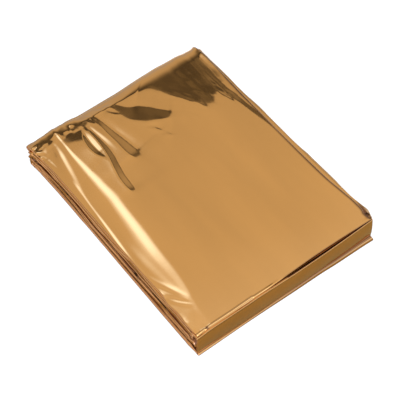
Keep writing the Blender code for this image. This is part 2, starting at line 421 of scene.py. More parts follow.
def flapSpan(y):
    # the flap's own thickness: near its front only a few plies are left
    start = front["edgeThick"]
    grown = ramp((y + stack["length"] / 2 - front["taperStart"]) / front["taper"])
    return start + (stack["flapThick"] - start) * grown


def underTop(x, y):
    # top of the layer under the flap: it sags towards the spine's crest, with a dip behind the crest, a
    # hollow at the right front corner, and a fall that follows the flap's bevel
    inward = np.maximum(y + stack["length"] / 2 - front["crestInset"], 0)
    sag = readTable(front["crestDrop"], x) * np.exp(-(inward / front["crestLength"]) ** 2)
    dip = readTable(front["dip"], x) * np.exp(-((inward - front["dipPlace"]) / front["dipWidth"]) ** 2)
    (placeX, placeY), (sizeX, sizeY) = front["pocketPlace"], front["pocketSize"]
    hollow = front["pocket"] * np.exp(-((x - placeX) / sizeX) ** 2 - ((y - placeY) / sizeY) ** 2)
    turn = front["bevelSlope"] * readTable(front["bevel"], x) * np.exp(-(inward / front["bevelLength"]) ** 2)
    return stackTop(x, y) - flapSpan(y) - sag - dip - hollow - turn


def boundary(level, x, y):
    # height of the gap under a layer, and how wide it is: both wander near the open sides
    if level == 0:
        return np.zeros(x.shape), np.zeros(x.shape)
    underFlap = level == stack["levels"]
    fromLeft = np.maximum(x + stack["width"] / 2, 0)
    fromRight = np.maximum(stack["width"] / 2 - x, 0)
    reach = layering["sideReach"]
    near = np.exp(-fromLeft / reach) + (not underFlap) * np.exp(-fromRight / reach)
    if underFlap:
        height = underTop(x, y)
    else:
        height = (stackTop(x, y) - stack["flapThick"]) * level / stack["levels"]
        wander = latticeNoise(y, 0 * y, layering["wanderSize"], seed=20 + level)
        height = height + near * layering["wander"] * wander
    uneven = layering["gapeNoise"] * latticeNoise(y, 0 * y, layering["gapeSize"], seed=40 + level)
    gap = stack["gap"] + near * np.maximum(layering["gape"] + uneven, 0)
    for parting in partings:
        if parting["level"] == level:
            behind = np.exp(-np.maximum(y - parting["y"], 0) / parting["length"] * layering["partingFall"])
            before = ramp(1 + (y - parting["y"]) / layering["partingStart"])
            gap = gap + parting["opening"] * behind * before * np.exp(-fromLeft / layering["partingReach"])
    if level % 2:
        gap = gap + layering["noseGap"] * near * rise(y, *layering["noseY"])
    return height, gap


def layerSpan(level, x, y):
    # lower and upper face of a layer
    low, lowGap = boundary(level, x, y)
    high, highGap = boundary(level + 1, x, y)
    return low + lowGap / 2, high - highGap / 2


def unit(a):
    # each vector over its own length
    return a / np.maximum(np.linalg.norm(a, axis=-1, keepdims=True), 1e-12)


def gridNormal(grid):
    # upward normal of a grid whose rows run along the strip
    return unit(np.cross(np.gradient(grid, axis=1), np.gradient(grid, axis=0)))


def tubePlaces(top, bottom, splits, steps):
    # the places round a flattened tube: share across, level from 1 on top to -1 below, outward bulge, ply
    # number and side; each side is a stack of half rounds between the split levels
    angle = np.linspace(0, math.pi, steps + 1)[1:]
    pairs = list(zip(splits, splits[1:]))
    level = np.concatenate([(high + low) / 2 + (high - low) / 2 * np.cos(angle) for high, low in pairs])[:-1]
    bulge = np.concatenate([(high - low) / 2 * np.sin(angle) for high, low in pairs])[:-1]
    ply = np.repeat(np.arange(len(pairs)), steps)[:-1]
    side = np.ones(len(level))
    return dict(
        across=np.concatenate([top, side, bottom[::-1], 0 * side]),
        level=np.concatenate([np.ones(len(top)), level, -np.ones(len(bottom)), level[::-1]]),
        bulge=np.concatenate([0 * top, bulge, 0 * bottom, bulge[::-1]]),
        ply=np.concatenate([0 * top, ply, 0 * bottom, ply[::-1]]),
        side=np.concatenate([0 * top, side, 0 * bottom, -side]),
    )


def tube(rows, places, refLevel, relief=None, reachOut=None, rightShade=0.0):
    # rows(share) gives a surface, a thickness and how much painted shade its outside takes; a point lies on
    # that surface, moved along its normal to its own level, and moved outwards by the side's bulge. It gives
    # the points, which of them are at a fold's edge, and how much painted shade each one takes
    fineSteps = 80
    fine = rows(np.linspace(0, 1, fineSteps + 1))[0]
    normalFine = gridNormal(fine)
    across, level, side = places["across"], places["level"], places["side"]
    at = across * fineSteps
    low = np.clip(np.floor(at).astype(int), 0, fineSteps - 1)
    part = (at - low)[None, :, None]
    normal = unit(normalFine[:, low] * (1 - part) + normalFine[:, low + 1] * part)
    surface, thick, paintedShade = rows(across)
    half = thick / 2
    points = surface + normal * (half * (level - refLevel))[..., None]
    right = unit(fine[:, -1] - fine[:, -2])[:, None, :]
    left = unit(fine[:, 1] - fine[:, 0])[:, None, :]
    amount = half * places["bulge"]
    if reachOut is not None:
        amount = amount + reachOut(surface, places)
    points = points + np.where(side[None, :, None] > 0, right, left) * (side * amount)[..., None]
    if relief is not None:
        points[..., 2] += relief(surface[..., 0], surface[..., 1]) * np.clip(level, 0, 1)
    # painted shade: the sides are darkened next to a gap, and far less where the layer's own outside stands
    # bare
    nearGap = 1 - ramp(places["bulge"] / layering["shadeWidth"])
    if refLevel > 0:
        nearGap = nearGap * (level < 0)
    nearGap = np.maximum(nearGap, rightShade * (side > 0))
    onSide = np.minimum(nearGap + 0 * half, 1 - layering["bareShare"] * (paintedShade == 0) * (refLevel < 0))
    onFace = np.where(level * refLevel > layering["outerLevel"], paintedShade, 1)
    return points, np.abs(side) + 0 * half, np.where(side == 0, onFace, onSide)


# corners where the ends of the folds are crushed
crushes = (
    dict(x=-50, y=64, reach=10.0, amount=0.85, size=2.0),
    dict(x=50, y=-64, reach=3.6, amount=0.32, size=1.6),
    dict(x=-50, y=-62, reach=9.0, amount=0.35, size=2.3),
    dict(x=50, y=64, reach=6.0, amount=0.30, size=2.3),
)

# how far the outline bows out at the back, right and left, and where the bows and the crushing set in
outline = {
    "back": ((-50, 0.4), (-44, -0.1), (-36, -0.2), (-20, -0.1), (0, 0.2), (8, 0.6), (18, 1.2), (28, 1.9),
        (37, 1.8), (43, 0.9), (46.5, 0.6), (50, 1.4)),
    "right": ((-67, 0.9), (-50, 0.8), (-20, 0.5), (10, 0.6), (30, 0.2), (67, 0.2)),
    "left": ((-67, 0), (44, -0.2), (56, 0.5), (67, 2.2)),
    "backY": (52, 14),
    "rightX": (40, 10),
    "leftX": (-42, -8),
    "crushDepth": 2.5,
    "crushFoot": 0.25,      # share of the crushing that is left at the floor
    "crushHeight": 3,
    "liftHeight": 2,
}


def settle(points):
    # the outline's slow bows, then noise that pushes the crushed corners about, never down through the floor
    moved = points.copy()
    x, y, z = points[..., 0], points[..., 1], points[..., 2]
    moved[..., 1] += readTable(outline["back"], x) * rise(y, *outline["backY"])
    toRight = readTable(outline["right"], y) * rise(x, *outline["rightX"])
    moved[..., 0] += toRight - readTable(outline["left"], y) * rise(x, *outline["leftX"])
    inside = np.maximum(stack["width"] / 2 - np.abs(x), 0)
    for number, crush in enumerate(crushes):
        size, seed = crush["size"], 60 + 3 * number
        away = np.hypot(x - crush["x"], y - crush["y"])
        near = crush["amount"] * np.exp(-2 * (away / crush["reach"]) ** 2 - inside / outline["crushDepth"])
        near = near * ramp(outline["crushFoot"] + z / outline["crushHeight"])
        lift = ramp(z / outline["liftHeight"])
        # the noise is read on skewed axes, so that no side is pushed straight out
        moved[..., 0] += near * latticeNoise(y + 0.8 * z, z - 0.6 * y, size, seed)
        moved[..., 1] += near * latticeNoise(x + 0.7 * z, z - 0.7 * x, size, seed + 1)
        moved[..., 2] += near * lift * latticeNoise(x * 0.8 + y, y * 0.8 - x, size, seed + 2)
    moved[..., 2] = np.maximum(moved[..., 2], 0)
    return moved


def tubeFaces(points):
    # quads between each row of points and the next, closed round the tube
    rows, cols = points.shape[:2]
    number = np.arange(rows * cols).reshape(rows, cols)
    ahead = np.roll(number, -1, axis=1)
    return np.stack([number[:-1], ahead[:-1], ahead[1:], number[1:]], axis=-1).reshape(-1, 4)


def meshObject(name, parts, material):
    # one mesh from the tubes, with its seams merged, its ends closed and its faces turned outwards
    verts, faces, edges, shades, base = [], [], [], [], 0
    for points, edge, shade in parts:
        verts.append(settle(points).reshape(-1, 3))
        edges.append(edge.reshape(-1))
        shades.append(shade.reshape(-1))
        faces.append(tubeFaces(points) + base)
        base += verts[-1].shape[0]
    mesh = bpy.data.meshes.new(name)
    mesh.from_pydata((np.concatenate(verts) * mm).tolist(), [], np.concatenate(faces).tolist())
    mesh.attributes.new("foldEdge", "FLOAT", "POINT").data.foreach_set("value", np.concatenate(edges))
    # painted shade of each point, which the film mixes towards its painted shade colour
    mesh.attributes.new("gapShade", "FLOAT", "POINT").data.foreach_set("value", np.concatenate(shades))
    bm = bmesh.new()
    bm.from_mesh(mesh)
    bmesh.ops.remove_doubles(bm, verts=bm.verts, dist=1e-7)
    bmesh.ops.holes_fill(bm, edges=[e for e in bm.edges if e.is_boundary], sides=0)
    bmesh.ops.recalc_face_normals(bm, faces=bm.faces)
    bm.to_mesh(mesh)
    bm.free()
    mesh.shade_smooth()
    mesh.materials.append(material)
    obj = bpy.data.objects.new(name, mesh)
    bpy.context.scene.collection.objects.link(obj)
    return obj


def sideLines(run, y):
    # x of a run's left and right side at each y
    half = stack["width"] / 2
    return readTable(run["left"], y) - half, half - readTable(run["right"], y)


def backLine(run):
    # y of a run's outermost place at the back
    return stack["length"] / 2 - run["back"]


def spread(start, end, step):
    # evenly spaced places, about a step apart
    count = max(int(round(abs(end - start) / step)), 1)
    return np.linspace(start, end, count + 1)


def along(start, end, endStep, midStep, endLength):
    # places from front to back, closer together near both ends
    return np.concatenate([
        spread(start, start + endLength, endStep),
        spread(start + endLength, end - endLength, midStep)[1:],
        spread(end - endLength, end, endStep)[1:],
    ])


def bend(p0, p1, p2, p3, steps):
    # a smooth turn between two ends, each with its own direction
    t = np.linspace(0, 1, steps + 1)[1:, None, None]
    return p0 * (1 - t) ** 3 + 3 * p1 * t * (1 - t) ** 2 + 3 * p2 * t * t * (1 - t) + p3 * t ** 3


# the plies that show at the sides
plies = {
    "steepness": 3,         # how soon they reach out, away from the gaps between them
    "lane": 9.0,            # how far apart the plies and the two sides lie in the noise
    "sideLane": 31.0,
    "slowSize": 13.0,
    "quickSize": 3.3,
    "quickShare": 0.22,
    "footShare": 0.3,       # how much they still stand out at the floor
    "footHeight": 4,
}


def plyReach(seed, depth):
    # the side's plies stand out unevenly: each reaches further or less far as it runs along, with small
    # crinkles, and height shifts the noise so that no two plies follow each other
    def amount(surface, places):
        y, z = surface[..., 1], surface[..., 2]
        lane = plies["lane"] * places["ply"] + plies["sideLane"] * (places["side"] > 0) + 0 * y
        part = np.clip(places["bulge"] * plies["steepness"], 0, 1)
        slow = latticeNoise(y + 2.3 * z, lane, plies["slowSize"], seed)
        quick = latticeNoise(y + 1.7 * z, lane, plies["quickSize"], seed + 1)
        lifted = plies["footShare"] + (1 - plies["footShare"]) * ramp(z / plies["footHeight"])
        return part * (depth * slow + plies["quickShare"] * depth * quick) * lifted
    return amount


def shareAcross(stretches):
    # places across the width from 0 to 1: each stretch is its end and its number of places, both ends counted
    start, shares = 0, [np.zeros(1)]
    for end, count in stretches:
        shares.append(np.linspace(start, end, count)[1:])
        start = end
    return np.concatenate(shares)


print("Building the flap")

flap = {
    "startInset": 2,        # how far inside the stack's length its flat part starts
    "noseRows": 6,
    "noseLength": 0.2,
    "foldRows": 18,
    "foldReach": 1.32,
    "frontStep": 0.15,
    "frontLength": 2.4,
    "leftStep": 0.8,
    "calmStep": 1.5,
    "busyStep": 0.4,
    "busyFrom": 24.0,
    "calmFrom": -28.0,
    "turnPlace": 0.35,      # the raised line behind the bevel
    "turnWidth": 0.4,
    "bevelSoft": 0.25,
    # painted shade at the open part of the front edge, at the curl and along the right edge
    "openShade": 0.6,       # the open part of the front edge
    "openX": (-4, 5),
    "openY": (0.7, -0.7),
    "curlShade": 0.9,
    "curlWidth": 0.8,
    "curlY": (1.9, -0.9),
    "rightShade": 0.75,     # the right edge, but not at the back
    "rightX": (1.2, -1.2),
    "rightY": (48, -10),
    "plyDepth": 0.12,
    "outsideShares": ((0.36, 96), (0.94, 106), (1, 16)),
    "insideShares": ((1, 14),),
    "splits": (1, -1),
    "sideSteps": 8,
}


def flapShade(x, y, fromFront, fromRight):
    # painted shade: the open part of the front edge darkens where it turns into the gap, the curl is
    # darkened, and so is the right edge
    opened = flap["openShade"] * rise(fromFront, *flap["openY"]) * rise(x, *flap["openX"])
    curled = flap["curlShade"] * np.exp(-((x - front["curl"]) / flap["curlWidth"]) ** 2)
    shade = np.maximum(opened, curled * rise(fromFront, *flap["curlY"]))
    return np.maximum(shade, flap["rightShade"] * rise(fromRight, *flap["rightX"]) * rise(y, *flap["rightY"]))


def flapRows(share):
    # top skin of the flap from its front edge back, then down round the back fold
    run, below = runs["flap"], runs["underFlap"]
    half = stack["flapThick"] / 2
    nose = flap["noseLength"] * (1 - np.cos(np.linspace(0, math.pi / 2, flap["noseRows"])))
    start = -stack["length"] / 2 + flap["startInset"]
    end = backLine(run) - stack["foldInset"]
    body = np.concatenate([
        start + nose,
        spread(start + nose[-1], start + flap["frontLength"], flap["frontStep"])[1:],
        spread(start + flap["frontLength"], flap["calmFrom"], flap["leftStep"])[1:],
        spread(flap["calmFrom"], flap["busyFrom"], flap["calmStep"])[1:],
        spread(flap["busyFrom"], end, flap["busyStep"])[1:],
    ])
    left, right = sideLines(run, body[:, None])
    x = left + half + (right - left - 2 * half) * share[None, :]
    line = readTable(front["line"], x)
    y = end - (end - line) * (end - body[:, None]) / (end - start)
    fromFront = body[:, None] - start + 0 * x
    # the front edge: a raised line, a bevel that sets in softly, and an end rounded to its own thickness
    bevel, soft = readTable(front["bevel"], x), flap["bevelSoft"]
    bell = np.exp(-((fromFront - bevel - flap["turnPlace"]) / flap["turnWidth"]) ** 2)
    turned = readTable(front["turnHeight"], x) * bell
    turned = turned - front["bevelSlope"] * soft * np.logaddexp(0, (bevel - fromFront) / soft * 2) / 2
    full = flapSpan(y)
    close = np.sqrt(np.clip(1 - np.maximum(1 - fromFront * 2 / full, 0) ** 2, 0, 1))
    z = stackTop(x, y) + turned - full / 2 * (1 - close)
    top = np.stack([x, y, z], axis=-1)
    # the fold: outer skin from the top, round to the underside of the layer below
    lastX, lastY = x[-1], y[-1]
    low, high = layerSpan(below["level"], lastX, lastY)
    tail = np.stack([lastX, lastY, low], axis=-1)
    direction = unit(top[-1] - top[-4])
    reach = (backLine(run) - lastY[:, None]) * flap["foldReach"]
    backward = np.array([0.0, 1.0, 0.0])
    fold = bend(top[-1], top[-1] + direction * reach, tail + backward * reach, tail, flap["foldRows"])
    turning = np.linspace(0, 1, flap["foldRows"] + 1)[1:, None] ** 2
    foldThick = stack["flapThick"] + (high - low - stack["flapThick"])[None, :] * turning
    shade = np.concatenate([flapShade(x, y, fromFront, right - half - x), 0 * foldThick])
    return np.concatenate([top, fold]), np.concatenate([full * close, foldThick]), shade


outside, inside = shareAcross(flap["outsideShares"]), shareAcross(flap["insideShares"])
flapPlaces = tubePlaces(outside, inside, flap["splits"], flap["sideSteps"])
flapPlies = plyReach(29, flap["plyDepth"])
flapPoints = tube(flapRows, flapPlaces, 1, flapCreases, flapPlies, flap["rightShade"])

print("Building the spine and the layers")

wrap = {
    "endStep": 0.8,
    "midStep": 1.6,
    "endLength": 9.0,
    "inset": 0.8,
    "faceInset": 0.5,       # the spine's face, inside the stack's length
    "crestRadius": 0.35,
    "crestRows": 7,
    "wallRows": 13,
    "wallThick": 1.3,
    "thickLength": 6,       # how far in from the face the layers have their own thickness
    "bulge": 0.4,
    "bow": ((-50, 0), (-20, 0.2), (10, 0.5), (35, 0.4), (50, 0.1)),     # how far the spine bows forward
    "bowLength": 12,
    "ripples": ((6.5, 0.07, 1, 71), (3, 0.05, 0.6, 72)),    # size, depth, squash and seed
    "crinkle": (2.6, 0.16, 1, 73),
    "crinkleX": (-4, -10),
    "crinkleHeight": 2.0,
    "lipRows": 3,
    "lipHeight": 0.35,
    "grooveHeight": ((-50, 1), (-25, 1), (-12, 1.4), (5, 1.9), (20, 2.3), (35, 2.5), (50, 2.6)),
    "grooveDepth": ((-50, 0.05), (-20, 0.1), (-8, 0.25), (0, 0.4), (50, 0.45)),
    "footRows": 11,
    "footOut": ((-50, 0.9), (-42, 0.8), (-20, 0.5), (0, 0.6), (18, 0.7), (28, 1.1), (36, 1.25), (42, 1.4),
        (50, 1.9)),
    # painted shade: in the groove and on its lip, down the spine towards its foot, on the foot, on the
    # crest's pale line, deep in the gap under the flap and in the pocket beside the flap's right front corner
    "grooveShade": ((-50, 0.3), (-20, 0.4), (-5, 0.7), (10, 0.9), (50, 0.9)),
    "lipShade": (0.3, 0.7),     # where in the groove its shade starts and stops growing
    "footShadeEnd": (0.35, -0.3),
    "wallShade": 0.26,      # how much the spine darkens towards its foot
    "footShade": 0.22,
    "crestShade": 0.4,      # half of it at the right
    "crestX": (0, -12),
    "gapShadeDepth": 0.64,
    "gapShadeY": (0.2, 0.5),    # from the face
    "bareX": (46.9, 0.6),       # the layer stands out past the flap
    "bareY": (-56, 3),
    "pocketWidth": ((-63.8, -0.4), (-62.6, 1.8), (-60.5, 2), (-57.5, 1.4), (-55, -0.4)),
    "pocketSoft": 0.4,
    "turnReach": 2.6,       # the turns between the inner layers
    "turnRows": 12,
    "plyDepth": 0.40,
    "outsideShares": ((0.962, 80), (1, 12)),
    "insideShares": ((1, 10),),
    "innerShares": ((1, 6),),
    "splits": (1, 0.35, -1),
    "sideSteps": 6,
}


def runGrid(run, share, y, inset):
    # places of a run: straight across between its side lines at each y
    left, right = sideLines(run, y[:, None])
    x = left + inset + (right - left - 2 * inset) * share[None, :]
    return x, y[:, None] + 0 * x


def runLength(start, run):
    # y of a run's rows, from its start to where its back fold begins
    end = backLine(run) - stack["foldInset"]
    return along(start, end, wrap["endStep"], wrap["midStep"], wrap["endLength"])


def wrinkle(x, z, size, depth, squash, seed):
    # lattice noise over the spine's wall, squashed in height
    return depth * latticeNoise(x + 0 * z, z * squash, size, seed)


def spineRows(x, edgeTop, face):
    # the spine from its crest down: a quarter round, a wall that bulges and ripples, a lip into the groove,
    # and the foot's round end; it gives y, z and the painted shade of each row
    bow = readTable(wrap["bow"], x)
    r = wrap["crestRadius"]
    quarter = np.linspace(0, math.pi / 2, wrap["crestRows"] + 1)[1:, None]
    zCrest = edgeTop - r * (1 - np.cos(quarter))
    yCrest = face + r - r * np.sin(quarter) - bow
    crestPaintedShade = wrap["crestShade"] * (0.5 + 0.5 * rise(x, *wrap["crestX"])) + 0 * zCrest

    groove, depth = readTable(wrap["grooveHeight"], x), readTable(wrap["grooveDepth"], x)
    wall = np.linspace(0, 1, wrap["wallRows"] + 1)[1:, None]
    zWall = (edgeTop - r) * (1 - wall) + (groove + wrap["lipHeight"]) * wall
    first, second = wrap["ripples"]
    ripple = wrinkle(x, zWall, *first) + wrinkle(x, zWall, *second)
    nearTop = rise(x, *wrap["crinkleX"]) * np.exp(-(edgeTop - zWall) / wrap["crinkleHeight"])
    crinkle = nearTop * wrinkle(x, zWall, *wrap["crinkle"])
    swell = np.sin(math.pi * wall)
    yWall = face - bow - wrap["bulge"] * swell + (ripple + crinkle) * swell ** 0.5
    wallPaintedShade = wrap["wallShade"] * wall + 0 * zWall

    lip = np.linspace(0, 1, wrap["lipRows"] + 1)[1:, None]
    zLip = groove + wrap["lipHeight"] * (1 - lip)
    yLip = face - bow + depth * lip ** 2
    darkness = readTable(wrap["grooveShade"], x)
    lipStart, lipEnd = wrap["lipShade"]
    lipPaintedShade = darkness * np.sin(math.pi * np.clip(lip + lipStart, 0, lipEnd)) + 0 * zLip

    turn = np.linspace(0, math.pi, wrap["footRows"] + 1)[1:, None]
    zFoot = groove / 2 * (1 + np.cos(turn))
    yFoot = face - bow + depth - (depth + readTable(wrap["footOut"], x)) * np.sin(turn) ** 0.7
    inGroove = darkness * rise(turn / math.pi, *wrap["footShadeEnd"])
    footPaintedShade = np.maximum(inGroove, wrap["footShade"]) + 0 * zFoot
    return (
        np.concatenate([yCrest, yWall, yLip, yFoot]),
        np.concatenate([zCrest, zWall, zLip, zFoot]),
        np.concatenate([crestPaintedShade, wallPaintedShade, lipPaintedShade, footPaintedShade]),
    )


def wrapTopShade(x, y, face):
    # painted shade deep inside the gap, but none at the sides, where the layer stands out past the flap, and
    # painted shade in the hollow beside the flap's front corner
    start, length = wrap["gapShadeY"]
    bare = np.where(x > 0, rise(y, *wrap["bareY"]), 1) * rise(np.abs(x), *wrap["bareX"])
    covered = wrap["gapShadeDepth"] * rise(y, face + start, length) * (1 - bare)
    fromFlap = x - (stack["width"] / 2 - readTable(runs["flap"]["right"], y))
    pocket = rise(fromFlap, readTable(wrap["pocketWidth"], y), -wrap["pocketSoft"]) * (x > 0)
    return np.maximum(covered, pocket)


def wrapRows(share):
    # outer skin: top of the layer under the flap, down the spine, and back along the bottom
    upper, bottom = runs["underFlap"], runs["bottom"]
    face = -stack["length"] / 2 + wrap["faceInset"]
    x, y = runGrid(upper, share, runLength(face + wrap["crestRadius"], upper)[::-1], wrap["inset"])
    low, high = layerSpan(upper["level"], x, y)
    bowed = y - readTable(wrap["bow"], x) * ramp((face + wrap["bowLength"] - y) / wrap["bowLength"])
    top = np.stack([x, bowed, high], axis=-1)
    spineY, spineZ, spinePaintedShade = spineRows(x[-1], high[-1], face)
    xEnd, yEnd = runGrid(bottom, share, runLength(face + 1.0, bottom), wrap["inset"])
    blend = np.linspace(0, 1, len(spineZ))[:, None]
    spineX = x[-1] * (1 - blend) + xEnd[0] * blend
    spine = np.stack([spineX, spineY, spineZ], axis=-1)
    _, highEnd = layerSpan(bottom["level"], xEnd, yEnd)
    bottomRows = np.stack([xEnd, yEnd, 0 * xEnd], axis=-1)
    wall, length = wrap["wallThick"], wrap["thickLength"]
    thick = wall + (high - low - wall) * rise(y, face + 1, length)
    endThick = wall + (highEnd - wall) * rise(yEnd, face + 1, length)
    points = np.concatenate([top, spine, bottomRows])
    # painted shade: the top's own, the spine's row by row, and full on the underside of the bottom
    paintedShade = np.concatenate([wrapTopShade(x, y, face), spinePaintedShade, 1 + 0 * xEnd])
    return points, np.concatenate([thick, wall + 0 * spineX, endThick]), paintedShade


def innerRows(share):
    # middle surface, from the bottom's back fold up through the three layers that fill the stack
    surfaces, thicks = [], []
    for number, name in enumerate(("bottom", "lower", "inner", "middle")):
        run = runs[name]
        y = runLength(-stack["length"] / 2 + run["front"] + wrap["wallThick"], run)
        if number % 2:
            y = y[::-1]
        if number == 0:
            y = y[-2:]      # only the end of the bottom, where the wrap goes on
        x, y = runGrid(run, share, y, wrap["inset"])
        low, high = layerSpan(run["level"], x, y)
        grid = np.stack([x, y, (low + high) / 2], axis=-1)
        if surfaces:
            ahead = np.array([0.0, wrap["turnReach"] if number % 2 else -wrap["turnReach"], 0.0])
            last = surfaces[-1][-1]
            surfaces.append(bend(last, last + ahead, grid[0] + ahead, grid[0], wrap["turnRows"])[:-1])
            mix = np.linspace(0, 1, wrap["turnRows"] + 1)[1:-1, None]
            thicks.append(thicks[-1][-1] * (1 - mix) + (high - low)[0] * mix)
        surfaces.append(grid)
        thicks.append(high - low)
    thick = np.concatenate(thicks)
    # the inner layers take full painted shade
    return np.concatenate(surfaces), thick, 1 + 0 * thick


outside, inside = shareAcross(wrap["outsideShares"]), shareAcross(wrap["insideShares"])
wrapPlaces = tubePlaces(inside, outside, wrap["splits"], wrap["sideSteps"])
wrapPoints = tube(wrapRows, wrapPlaces, -1, reachOut=plyReach(31, wrap["plyDepth"]))
inner = shareAcross(wrap["innerShares"])
innerPlaces = tubePlaces(inner, inner, wrap["splits"], wrap["sideSteps"])
innerPoints = tube(innerRows, innerPlaces, 0, reachOut=plyReach(37, wrap["plyDepth"]))

print("Making the film")

film = {
    "colour": (0.87, 0.42, 0.103, 1),
    # painted light: the ruddier tint of the fold edges stands in for light bounced between the gold layers
    "edgeColour": (0.93, 0.43, 0.165, 1),
    # painted light: the fold edges on the right turn paler, as if lit
    "rightEdgeColour": (0.9, 0.6, 0.33, 1),
    "rightFrom": (0.03, 0.04),      # metres along x over which the edges turn paler
    # painted shade: the colour the film takes deep in the gaps between its layers
    "paintedShadeColour": (0.19, 0.065, 0.012, 1),
    "bandSize": 60.0,       # bands of tone, per metre
    "bandTurn": 0.9,
    "bandStretch": 0.2,
    "bandTone": (0.95, 1.045),
    "hazeSize": 70.0,
    "hazeRoughness": (0.045, 0.085),
    "rippleSize": 260.0,
    "rippleStrength": 0.022,
    "rippleDistance": 0.0002,
    "coat": 0.7,
    "coatRoughness": 0.08,
}


def newGroup(name, inputs, outputs):
    group = bpy.data.node_groups.new(name, "ShaderNodeTree")
    for direction, sockets in (("INPUT", inputs), ("OUTPUT", outputs)):
        for socket, kind in sockets:
            group.interface.new_socket(socket, in_out=direction, socket_type="NodeSocket" + kind)
    return group, group.nodes.new("NodeGroupInput"), group.nodes.new("NodeGroupOutput")


def noiseNode(tree, vector, scale, detail):
    node = tree.nodes.new("ShaderNodeTexNoise")
    node.inputs["Scale"].default_value = scale
    node.inputs["Detail"].default_value = detail
    tree.links.new(vector, node.inputs["Vector"])
    return node.outputs["Fac"]


def mapRange(tree, value, start, end):
    # value carried over in proportion from the start range to the end range
    node = tree.nodes.new("ShaderNodeMapRange")
    for socket, number in zip(("From Min", "From Max", "To Min", "To Max"), (*start, *end)):
        node.inputs[socket].default_value = number
    tree.links.new(value, node.inputs["Value"])
    return node.outputs["Result"]


def mathNode(tree, kind, *values):
    node = tree.nodes.new("ShaderNodeMath")
    node.operation = kind
    for socket, value in zip(node.inputs, values):
        if isinstance(value, (int, float)):
            socket.default_value = value
        else:
            tree.links.new(value, socket)
    return node.outputs[0]


def mixColour(tree, factor, a, b, kind="MIX"):
    node = tree.nodes.new("ShaderNodeMix")
    node.data_type = "RGBA"
    node.blend_type = kind
    for socket, value in (("Factor", factor), ("A", a), ("B", b)):
        if isinstance(value, (tuple, float)):
            node.inputs[socket].default_value = value
        else:
            tree.links.new(value, node.inputs[socket])
    return node.outputs["Result"]


def attribute(tree, name):
    node = tree.nodes.new("ShaderNodeAttribute")
    node.attribute_name = name
    return node.outputs["Fac"]


def placeIn(tree):
    # x, y and z of the object's own coordinates
    node = tree.nodes.new("ShaderNodeSeparateXYZ")
    tree.links.new(tree.nodes.new("ShaderNodeTexCoord").outputs["Object"], node.inputs[0])
    return node.outputs


def filmSurface():
    # tone is a long slow noise stretched along one diagonal, roughness a middling one, height a fine one
    outputs = (("Tone", "Float"), ("Roughness", "Float"), ("Height", "Float"))
    group, given, made = newGroup("filmSurface", (("Place", "Vector"),), outputs)
    place = given.outputs["Place"]
    turned = group.nodes.new("ShaderNodeMapping")
    turned.inputs["Rotation"].default_value = (0, 0, film["bandTurn"])
    turned.inputs["Scale"].default_value = (1, film["bandStretch"], 1)
    group.links.new(place, turned.inputs["Vector"])
    usual = (0.3, 0.7)      # the range in which nearly all the noise lies
    bands = noiseNode(group, turned.outputs["Vector"], film["bandSize"], detail=2.5)
    haze = noiseNode(group, place, film["hazeSize"], detail=3.0)
    group.links.new(mapRange(group, bands, usual, film["bandTone"]), made.inputs["Tone"])
    group.links.new(mapRange(group, haze, usual, film["hazeRoughness"]), made.inputs["Roughness"])
    group.links.new(noiseNode(group, place, film["rippleSize"], detail=3.0), made.inputs["Height"])
    return group


def goldFilm():
    # metal under a clear coat, with a painted ruddier tint for bounced light at its fold edges, a painted
    # paler one at those on the right, and painted shade, brown, in the gaps
    material = bpy.data.materials.new("goldFilm")
    material.use_nodes = True
    tree = material.node_tree
    nodes, links = tree.nodes, tree.links
    shader = nodes["Principled BSDF"]
    look = nodes.new("ShaderNodeGroup")
    look.node_tree = filmSurface()
    links.new(nodes.new("ShaderNodeTexCoord").outputs["Object"], look.inputs["Place"])
    # painted light: the edge tint turns paler towards the right
    onRight = mapRange(tree, placeIn(tree)["X"], film["rightFrom"], (0.0, 1.0))
    edge = mixColour(tree, onRight, film["edgeColour"], film["rightEdgeColour"])
    # painted light: the fold edges take the edge tint
    tinted = mixColour(tree, attribute(tree, "foldEdge"), film["colour"], edge)
    toned = mixColour(tree, 1.0, tinted, look.outputs["Tone"], "MULTIPLY")
    # painted shade: the film turns towards the painted shade colour as far as its gapShade attribute says
    shaded = mixColour(tree, attribute(tree, "gapShade"), toned, film["paintedShadeColour"])
    links.new(shaded, shader.inputs["Base Color"])
    links.new(look.outputs["Roughness"], shader.inputs["Roughness"])
    shader.inputs["Metallic"].default_value = 1
    shader.inputs["Coat Weight"].default_value = film["coat"]
    shader.inputs["Coat Roughness"].default_value = film["coatRoughness"]
    ripple = nodes.new("ShaderNodeBump")
    ripple.inputs["Strength"].default_value = film["rippleStrength"]
    ripple.inputs["Distance"].default_value = film["rippleDistance"]
    links.new(look.outputs["Height"], ripple.inputs["Height"])
    links.new(ripple.outputs["Normal"], shader.inputs["Normal"])
    return material


blanket = meshObject("foilBlanket", [flapPoints, wrapPoints, innerPoints], goldFilm())
print("Triangles:", sum(len(face.vertices) - 2 for face in blanket.data.polygons))

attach(blanket, "root")
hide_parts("blanket")

print("Setting the stage")

ground = {
    "reach": 4,
    "plain": (0.35, 0.35, 0.35, 1),         # what the camera sees, with its own glow
    "glow": (1, 1, 1, 1),
    "glowStrength": 0.85,
    "mirrored": (0.4, 0.31, 0.12, 1),       # what the film mirrors, darker as painted shade, and paler as painted light beside its right edge
    "mirroredBeside": (0.95, 0.85, 0.6, 1),
    "besideX": (0.0515, 0.0535),
    "besideY": (-0.064, -0.058),
}


